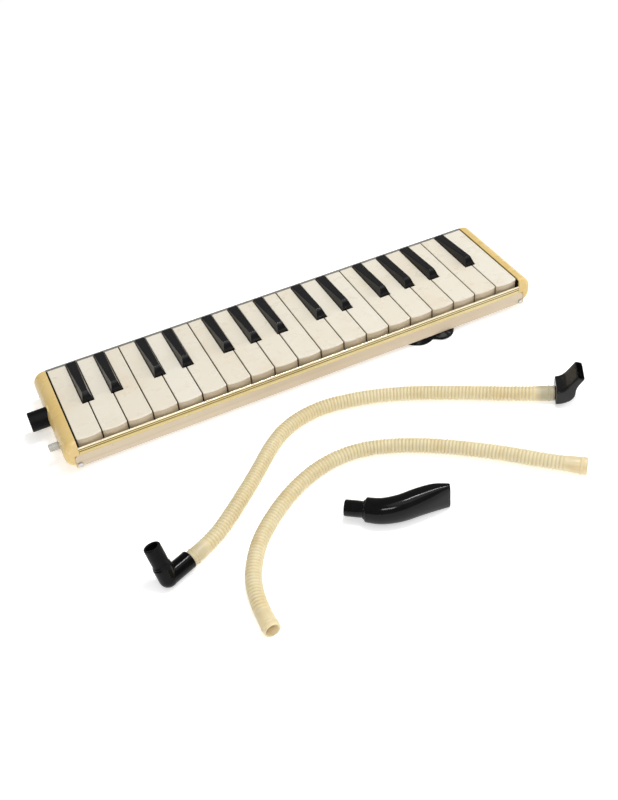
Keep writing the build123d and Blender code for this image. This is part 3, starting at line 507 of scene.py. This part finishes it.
floor_finish = Finish("floor_white", (0.93, 0.93, 0.93), 0.7, specular=0.2)
floor_finish.tint((0.91, 0.91, 0.91), floor_finish.window(floor_finish.noise(3, 2), 0.4, 0.7, 0, 1))
floor_finish.set("Emission Color", (1, 1, 1, 1))
floor_finish.set("Emission Strength", FLOOR_GLOW)
wear(floor, floor_finish.material)

# %% [markdown]
# ## Hose routes
# A hose is a fixed length of something springy, so its line is one smooth NURBS spline through the
# same few points that the solid model uses. A bevel-less copy of the curve is turned into points,
# and the corrugated tube follows those.

# %% Hose routes
HOSE_Z = 6.2
PLAYING_ROUTE = [
    (-158.8, -184.3), (-137.8, -175.4), (-116, -157.8), (-87.6, -132.3), (-58.5, -103),
    (-36.9, -91.2), (-11.5, -86.7), (14.6, -91), (41.6, -99.5), (70.6, -114), (104, -134.5),
    (132, -152.5), (157.3, -166.9),
]
SPARE_ROUTE = [
    (131.3, -245.8), (110.5, -228), (86.5, -203.5), (56, -178), (26.3, -158), (-4.4, -145.5),
    (-34.2, -145.5), (-63.7, -156.5), (-91.3, -175.4), (-115, -198.6), (-132.5, -235.3),
    (-131, -267.2),
]


def smooth_line(name, points):
    """Points along a NURBS spline whose control points are the route's, in metres."""
    curve = bpy.data.curves.new(name, "CURVE")
    curve.dimensions = "3D"
    curve.resolution_u = 24
    spline = curve.splines.new("NURBS")
    spline.points.add(len(points) - 1)
    for control, (x, y) in zip(spline.points, points):
        control.co = (x * MM, y * MM, HOSE_Z * MM, 1)
    spline.order_u = 3
    spline.use_endpoint_u = True
    holder = bpy.data.objects.new(name, curve)
    bpy.context.scene.collection.objects.link(holder)
    bpy.context.view_layer.update()
    mesh = bpy.data.meshes.new_from_object(holder)
    line = [vertex.co.copy() for vertex in mesh.vertices]
    bpy.data.objects.remove(holder)
    bpy.data.meshes.remove(mesh)
    return line


class Track:
    """A line with its running length, read at any distance from its start."""

    def __init__(self, line):
        self.line = line
        self.reach = [0.0]
        for here, there in zip(line, line[1:]):
            self.reach.append(self.reach[-1] + (there - here).length)
        self.length = self.reach[-1]

    def at(self, distance):
        """The place at a distance, running straight on past both ends."""
        last = len(self.line) - 2
        index = 0
        while index < last and self.reach[index + 1] < distance:
            index += 1
        step = self.line[index + 1] - self.line[index]
        return self.line[index] + step * ((distance - self.reach[index]) / step.length)

    def frame(self, distance):
        """Place, sideways and up vectors at a distance."""
        reach = 0.002
        ahead = self.at(min(distance + reach, self.length))
        behind = self.at(max(distance - reach, 0))
        forward = (ahead - behind).normalized()
        side = forward.cross(UP).normalized()
        return self.at(distance), side, side.cross(forward)


# %% [markdown]
# ## Corrugated hose
# Half of the hose's section, a row of small rings between two plain cuffs, is drawn as one closed
# profile and spun round its axis. The straight tube is then bent onto its line by moving each
# vertex: its distance from the start picks the place, its two other coordinates stay across it.
# The raised bands on a cuff would sink into the table, so what is under it is pressed flat there.

# %% Corrugated hose
CUFF = 17.5
RING_PITCH = 2.75
RING_TOP, RING_VALLEY = 6.0, 5.05
CUFF_R = 6.05
BORE_R = 4.75
SPIN_STEPS = 28
TABLE_CLEARANCE = 0.00005


def cuff_profile(flare):
    """Radius and distance from the open end over one cuff, with its two raised bands."""
    lip = CUFF_R + flare
    return [
        (lip - 0.3, 0.0), (lip - 0.02, 0.3), (lip, 3.1), (lip - 0.25, 3.5), (lip + 0.38, 4.0),
        (lip + 0.4, 4.7), (lip - 0.28, 5.2), (CUFF_R + flare * 0.6, 5.8),
        (CUFF_R + flare * 0.2, 10.0), (CUFF_R - 0.12, 13.8), (CUFF_R - 0.3, 15.4),
        (CUFF_R + 0.05, 15.9), (CUFF_R + 0.05, 16.6), (RING_VALLEY + 0.2, CUFF),
    ]


def hose_profile(length, flares):
    """The closed half section of a hose: outside from start to end, then back along the bore."""
    outside = cuff_profile(flares[0])
    rings = round((length - 2 * CUFF) / RING_PITCH)
    pitch = (length - 2 * CUFF) / rings
    for ring in range(rings):
        start = CUFF + ring * pitch
        top = RING_TOP + rng.uniform(-0.06, 0.06)
        outside += [(top - 0.26, start + 0.22 * pitch), (top, start + 0.38 * pitch)]
        outside += [(top, start + 0.62 * pitch), (top - 0.26, start + 0.78 * pitch)]
        if ring < rings - 1:
            outside.append((RING_VALLEY, start + pitch))
    outside += [(radius, length - at) for radius, at in reversed(cuff_profile(flares[1]))]
    steps = round(length / 8)
    bore = [(BORE_R, length * step / steps) for step in range(steps, -1, -1)]
    bore[0] = (BORE_R + flares[1], length)
    bore[-1] = (BORE_R + flares[0], 0)
    return outside + bore


def settle_order(bm):
    """Puts points and faces in one fixed order, because merging leaves them in a new one each run."""
    def place_of(point):
        return tuple(round(value, 6) for value in (point.z, point.x, point.y))

    middles = (
        (bm.verts, lambda vert: vert.co),
        (bm.edges, lambda edge: (edge.verts[0].co + edge.verts[1].co) / 2),
        (bm.faces, lambda face: face.calc_center_median()),
    )
    for elements, middle in middles:
        ranked = sorted(elements, key=lambda element: place_of(middle(element)))
        for rank, element in enumerate(ranked):
            element.index = rank
        elements.sort()
        elements.index_update()


def corrugated_hose(name, line, flares=(0, 0), spigots=(0, 0)):
    """Spins the profile and bends it onto the line."""
    track = Track(line)
    bm = bmesh.new()
    corners = [
        bm.verts.new((radius * MM, 0, at * MM))
        for radius, at in hose_profile(track.length / MM, flares)
    ]
    edges = [bm.edges.new((here, there)) for here, there in zip(corners, corners[1:] + corners[:1])]
    bmesh.ops.spin(
        bm, geom=corners + edges, cent=(0, 0, 0), axis=(0, 0, 1), dvec=(0, 0, 0),
        angle=math.tau, steps=SPIN_STEPS, use_merge=True, use_duplicate=False,
    )
    bmesh.ops.remove_doubles(bm, verts=bm.verts, dist=1e-6)
    bmesh.ops.recalc_face_normals(bm, faces=bm.faces)
    settle_order(bm)
    # The depth between rings is stored for the shader's painted shade in the valleys.
    valley_shade = bm.verts.layers.float.new("valley_shade")
    spigot = bm.verts.layers.float.new("spigot")
    for vert in bm.verts:
        across, up, along = vert.co
        radius = math.hypot(across, up) / MM
        inside_rings = CUFF < along / MM < track.length / MM - CUFF
        deep = (RING_TOP - radius) / (RING_TOP - RING_VALLEY)
        vert[valley_shade] = min(max(deep, 0), 1) if inside_rings else 0.0
        ends = (along / MM, (track.length - along) / MM)
        near = [held * (1 - max(end - 12, 0) / 3) for end, held in zip(ends, spigots) if end < 15]
        vert[spigot] = max(near, default=0.0)
        place, side, above = track.frame(along)
        vert.co = place + side * across + above * up
        vert.co.z = max(vert.co.z, TABLE_CLEARANCE)
    obj = link_mesh(name, bm)
    for polygon in obj.data.polygons:
        polygon.use_smooth = True
    wear(obj, finishes["hose_plastic"])
    print(name, "length", round(track.length, 4), "faces", len(obj.data.polygons))
    return obj, track


playing_line = smooth_line("playing_line", PLAYING_ROUTE)
playing, playing_track = corrugated_hose("playing_hose_skin", playing_line, spigots=(0.5, 1))

spare_line = smooth_line("spare_line", SPARE_ROUTE)
spare, spare_track = corrugated_hose("spare_hose_skin", spare_line, flares=(0.5, 0.1))
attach(spare, "spare_hose_body")
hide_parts("spare_hose")

# %% [markdown]
# ## Rings, lofts and spins
# The black fittings are hollow mouldings. Each is a row of rings with the same number of corners,
# joined by quads, so one helper makes elbows, spigots and mouthpieces. Between the listed
# stations the numbers are eased, which keeps the reflections flowing.

# %% Rings and lofts
def ease(rows, steps):
    """Catmull-Rom values between rows of numbers, steps to each gap."""
    rows = [tuple(row) for row in rows]
    padded = [rows[0], *rows, rows[-1]]
    out = []
    for before, here, there, after in zip(padded, padded[1:], padded[2:], padded[3:]):
        for step in range(steps):
            t = step / steps
            out.append(tuple(
                0.5 * (2 * b + (c - a) * t + (2 * a - 5 * b + 4 * c - d) * t**2
                       + (3 * b - a - 3 * c + d) * t**3)
                for a, b, c, d in zip(before, here, there, after)
            ))
    return out + [rows[-1]]


def oval_ring(centre, across, up, half_across, half_up, squareness=2.0, corners=48):
    """Points round an oval that grows squarer as squareness rises above 2."""
    ring = []
    for corner in range(corners):
        angle = math.tau * corner / corners
        c, s = math.cos(angle), math.sin(angle)
        power = 2 / squareness
        side = math.copysign(abs(c) ** power, c) * half_across
        rise = math.copysign(abs(s) ** power, s) * half_up
        ring.append(centre + across * side + up * rise)
    return ring


def join_rings(bm, rings, close_start=False, close_end=False):
    """Quads between neighbouring rings, given in millimetres."""
    rows = [[bm.verts.new(point * MM) for point in ring] for ring in rings]
    count = len(rows[0])
    for low, high in zip(rows, rows[1:]):
        for corner in range(count):
            after = (corner + 1) % count
            bm.faces.new((low[corner], low[after], high[after], high[corner]))
    if close_start:
        bm.faces.new(rows[0][::-1])
    if close_end:
        bm.faces.new(rows[-1])


def turned(bm, origin, axis, profile, corners=48):
    """A turned shape: rings of (radius, distance along the axis), both ends closed."""
    side = axis.orthogonal().normalized()
    other = axis.cross(side)
    rings = [
        oval_ring(origin + axis * along, side, other, radius, radius, corners=corners)
        for radius, along in profile
    ]
    join_rings(bm, rings, close_start=True, close_end=True)


def soft_shade(obj):
    for polygon in obj.data.polygons:
        polygon.use_smooth = True


# %% [markdown]
# ## Elbow
# The elbow is two turned tubes that meet at a right angle. It has rolled back on the table, so its
# open spigot leans away. The two closed shells are fused by a voxel remesh and relaxed a little,
# which leaves the small fillet that a real moulding has where they meet.

# %% Elbow
ELBOW_LEG = 20.5
ELBOW_AXIS_Z = 7.3
ELBOW_ROLL = math.radians(22)
ELBOW_VOXEL = 0.34
leg_end = Vector((*PLAYING_ROUTE[0], ELBOW_AXIS_Z))
leg_out = (Vector((*PLAYING_ROUTE[1], ELBOW_AXIS_Z)) - leg_end).normalized()
elbow_corner = leg_end - leg_out * ELBOW_LEG
leg_side = Vector((-leg_out.y, leg_out.x, 0))
arm_out = leg_side * math.sin(ELBOW_ROLL) + UP * math.cos(ELBOW_ROLL)

bm = bmesh.new()
arm = [(0.4, -6.95)]
arm += [
    (0.5 + 6.5 * math.sin(math.radians(turn)), -0.5 - 6.5 * math.cos(math.radians(turn)))
    for turn in range(10, 91, 10)
]
arm += [
    (7.0, 5), (7.05, 8.4), (7.15, 9.4), (6.95, 10.0), (6.3, 10.3), (6.25, 10.7),
    (6.75, 10.95), (6.8, 11.4), (6.3, 11.8), (6.15, 12.6), (6.2, 18), (6.2, 26.4), (6.1, 26.9),
    (5.75, 27.2), (5.1, 27.2), (4.75, 26.9), (4.6, 26.4), (4.5, 8), (0.3, 7.6),
]
turned(bm, elbow_corner, arm_out, arm)
leg = [
    (6.9, 0), (6.9, 6), (6.9, 18.6), (7.0, 19.0), (7.0, 19.9), (6.7, 20.4), (6.2, 20.5),
    (4.65, 20.5), (4.65, 32.0), (4.5, 32.3), (3.4, 32.3), (3.4, 16), (0.3, 15.7),
]
turned(bm, elbow_corner, leg_out, leg)
bmesh.ops.recalc_face_normals(bm, faces=bm.faces)
elbow = link_mesh("elbow_moulding", bm)
remesh = elbow.modifiers.new("fuse", "REMESH")
remesh.mode = "VOXEL"
remesh.voxel_size = ELBOW_VOXEL * MM
remesh.use_smooth_shade = True
relax = elbow.modifiers.new("relax", "SMOOTH")
relax.factor = 0.5
relax.iterations = 3
wear(elbow, elbow_black())
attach(elbow, "hose_set")
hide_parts("hose_elbow")
print("elbow at", tuple(round(v, 1) for v in elbow_corner))

# %% [markdown]
# ## Flat mouthpiece
# Pressed between the lips, so its mouth is a wide slot. Its two sides are drawn as a lower and an
# upper line, and each pair of points on them makes one rounded oblong ring. The rings fan round
# from the upright end on the hose to the mouth, and the last ones turn in to make the lips.

# %% Flat mouthpiece
flat_start = Vector((*PLAYING_ROUTE[-1], HOSE_Z))
flat_out = (flat_start - Vector((*PLAYING_ROUTE[-2], HOSE_Z))).normalized()
flat_across = Vector((flat_out.y, -flat_out.x, 0))
LOWER = [
    (0.2, -4), (5, -3.2), (10, -1.4), (13.2, 1.2), (15.0, 4.5), (15.3, 8), (15.6, 11),
    (16.8, 14.8), (18.7, 18.3), (20.8, 22),
]
UPPER = [
    (0.6, 10), (2, 10.1), (3.5, 10.5), (5, 11.2), (6.4, 12.3), (7.9, 13.7), (9.2, 15.4),
    (10.8, 17.6), (12.8, 20.4), (15, 23.5),
]
SQUARENESS = [9, 9, 9, 8, 8, 8, 8, 8, 8, 8]
HALF_WIDTH = [10.3, 10.5, 10.5, 10.5, 10.4, 10.3, 10.2, 10.2, 10.3, 10.5]


def flat_point(along, up):
    return flat_start + flat_out * along + UP * up


def flat_ring(low, high, half_width, squareness, inset=0.0, back=0.0):
    """One oblong ring between a lower and an upper point, set in and set back by some amount."""
    bottom, top = flat_point(*low), flat_point(*high)
    rise = (top - bottom).normalized()
    half = (top - bottom).length / 2 - inset
    inward = rise.cross(flat_across)
    if inward.dot(flat_out) > 0:
        inward = -inward
    centre = (top + bottom) / 2 + inward * back
    return oval_ring(centre, flat_across, rise, half_width - inset, half, squareness, 64)


rows = ease([(*low, *high, wide, square) for low, high, wide, square
             in zip(LOWER, UPPER, HALF_WIDTH, SQUARENESS)], 3)
first, last = rows[0], rows[-1]
rings = [
    flat_ring(first[:2], first[2:4], first[4], first[5], 6.2),
    flat_ring(first[:2], first[2:4], first[4], first[5], 0.9),
    flat_ring(first[:2], first[2:4], first[4], first[5], 0.25, -0.1),
]
rings += [flat_ring(row[:2], row[2:4], row[4], row[5]) for row in rows[1:]]
for inset, back in ((0.2, -0.3), (0.5, -0.4), (0.75, -0.1), (0.85, 0.6), (1.1, 4.0), (1.4, 7.0)):
    rings.append(flat_ring(last[:2], last[2:4], last[4], last[5], inset, back))
bm = bmesh.new()
join_rings(bm, rings, close_start=True, close_end=True)
turned(bm, flat_start + flat_out * 1.6, -flat_out, [
    (4.6, 0), (4.65, 0.4), (4.65, 12.8), (4.5, 13.3), (3.4, 13.4), (3.4, 8), (0.3, 7.8),
])
bmesh.ops.recalc_face_normals(bm, faces=bm.faces)
flat = link_mesh("flat_mouthpiece_moulding", bm)
soft_shade(flat)
wear(flat, black_plastic("flat_black", 0.2, 0.1, color=(0.006, 0.0058, 0.006), specular=0.3).material)
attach(flat, "hose_set")
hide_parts("flat_mouthpiece")
print("flat mouthpiece rings", len(rings))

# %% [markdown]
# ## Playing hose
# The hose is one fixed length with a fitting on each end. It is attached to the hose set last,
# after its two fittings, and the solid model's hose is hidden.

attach(playing, "hose_set")
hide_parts("playing_hose")


# %% [markdown]
# ## Short mouthpiece
# It lies on its side. Its body is thick by the spigot and narrows to a tall slot, and its line
# makes a gentle S. Every station gives a place, a heading, half a thickness and half a height.

# %% Short mouthpiece
STATIONS = [
    (-31.0, -205.8, -37, 8.7, 9.2, 2.2),
    (-22.0, -213.1, -28, 8.8, 9.8, 2.2),
    (-9.5, -217.7, -12, 8.6, 10.4, 2.3),
    (5.0, -219.3, -4, 8.1, 10.9, 2.5),
    (17.0, -221.5, -13, 6.4, 11.3, 2.9),
    (27.2, -225.0, -22, 2.9, 11.2, 3.4),
]


def body_ring(station, inset=0.0, ahead=0.0):
    """An upright section across the mouthpiece's line, set in and moved on by some amount."""
    x, y, heading, thick, high, square = station
    out = Vector((math.cos(math.radians(heading)), math.sin(math.radians(heading)), 0))
    centre = Vector((x, y, high + 0.1)) + out * ahead
    side = Vector((out.y, -out.x, 0))
    return oval_ring(centre, side, UP, thick - inset, high - inset, square)


stations = ease(STATIONS, 6)
x, y, heading, thick, high, square = STATIONS[0]
spigot_out = Vector((math.cos(math.radians(heading)), math.sin(math.radians(heading)), 0))
spigot_root = Vector((x, y, high + 0.1))
spigot_side = Vector((spigot_out.y, -spigot_out.x, 0))
rings = [
    oval_ring(spigot_root - spigot_out * back, spigot_side, UP, radius, radius)
    for radius, back in (
        (0.4, 4.2), (4.4, 4.0), (4.4, 14.5), (4.7, 15.1), (5.2, 15.3), (5.9, 15.25), (6.2, 14.7),
        (6.2, 8.0), (6.2, 1.9), (6.5, 1.6), (7.0, 1.5), (7.3, 1.2), (7.3, 0.6), (7.1, 0.35),
    )
]
SHOULDER = ((1.2, -0.3), (0.35, 0.1), (0, 0.8))
LIP = ((0, -0.4), (0.06, -0.1), (0.3, 0.05), (0.8, 0.05), (1.05, -0.2), (1.15, -1.0), (1.3, -9.0))
rings += [body_ring(stations[0], inset, ahead) for inset, ahead in SHOULDER]
rings += [body_ring(station) for station in stations[1:-1]]
rings += [body_ring(stations[-1], inset, ahead) for inset, ahead in LIP]
bm = bmesh.new()
join_rings(bm, rings, close_start=True, close_end=True)
bmesh.ops.recalc_face_normals(bm, faces=bm.faces)
short = link_mesh("short_mouthpiece_moulding", bm)
soft_shade(short)
wear(short, black_plastic("short_black", 0.09, 0.08).material)
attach(short, "short_mouthpiece_body")
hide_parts("short_mouthpiece")
print("short mouthpiece rings", len(rings))

# %% [markdown]
# ## Hand strap
# A slack vinyl band is held by two steel brackets under the treble half. It is longer than the
# gap between them, so it spills out under the front cover in two lobes. The band is a row of thin
# rounded sections; each has a place, a half width and a tilt about its own line. It narrows where
# it creases, which stands in for the gathers of a real strap that keeps its full width.

# %% Hand strap
STRAP_HALF_THICK = 0.55
STRAP = [
    (44, 0, 3.2, 10, 0), (58, -1, 3.2, 10, 0), (74, -8, 2.7, 9.5, 2), (86, -25, 2.3, 8, 8),
    (92.5, -40, 2.4, 5, 24), (97.5, -48.3, 2.7, 3.4, 44), (103, -51.6, 2.9, 3.1, 50),
    (108.5, -51.2, 2.8, 3.1, 48), (113.5, -48.8, 2.5, 3.2, 30), (117.5, -49.6, 2.1, 4.2, 12),
    (122.5, -51.2, 1.9, 5.6, 8), (128, -49.8, 2.2, 6.0, 6), (132.5, -42, 2.3, 6.4, 4),
    (140, -25, 2.5, 8.5, 2), (149, -8, 2.9, 9.5, 0), (163, -0.5, 3.2, 10, 0), (178, 0, 3.2, 10, 0),
]
FOLD = [
    (116.5, -49.8, 3.4, 1.6, 10), (119.5, -52.6, 3.4, 2.6, 20), (124, -53.9, 3.3, 3.0, 26),
    (128.5, -52.6, 3.6, 2.8, 12), (132, -48.5, 3.5, 2.6, -10), (134.5, -42, 3.3, 2.4, 0),
]


def band(bm, stations, thick, crumple):
    """A thin band through its stations, with small random folds across it."""
    rows = ease(stations, 5)
    rings = []
    for index, (x, y, z, half, tilt) in enumerate(rows):
        here = Vector((x, y, z))
        ahead = rows[min(index + 1, len(rows) - 1)]
        behind = rows[max(index - 1, 0)]
        forward = (Vector(ahead[:3]) - Vector(behind[:3])).normalized()
        side = forward.cross(UP).normalized()
        lean = math.radians(tilt)
        across = side * math.cos(lean) - UP * math.sin(lean)
        rise = across.cross(forward).normalized()
        if rise.z < 0:
            rise = -rise
        here += UP * rng.uniform(-crumple, crumple)
        rings.append(oval_ring(here, across, rise, half, thick, 4.0, 24))
    join_rings(bm, rings, close_start=True, close_end=True)


bm = bmesh.new()
band(bm, STRAP, STRAP_HALF_THICK, 0.08)
band(bm, FOLD, STRAP_HALF_THICK, 0.35)
bmesh.ops.recalc_face_normals(bm, faces=bm.faces)
strap = link_mesh("strap_band", bm)
soft_shade(strap)
smooth = strap.modifiers.new("smooth", "SUBSURF")
smooth.levels = smooth.render_levels = 1
wear(strap, finishes["strap_vinyl"])
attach(strap, "instrument")
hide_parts("hand_strap")
print("strap faces", len(strap.data.polygons))
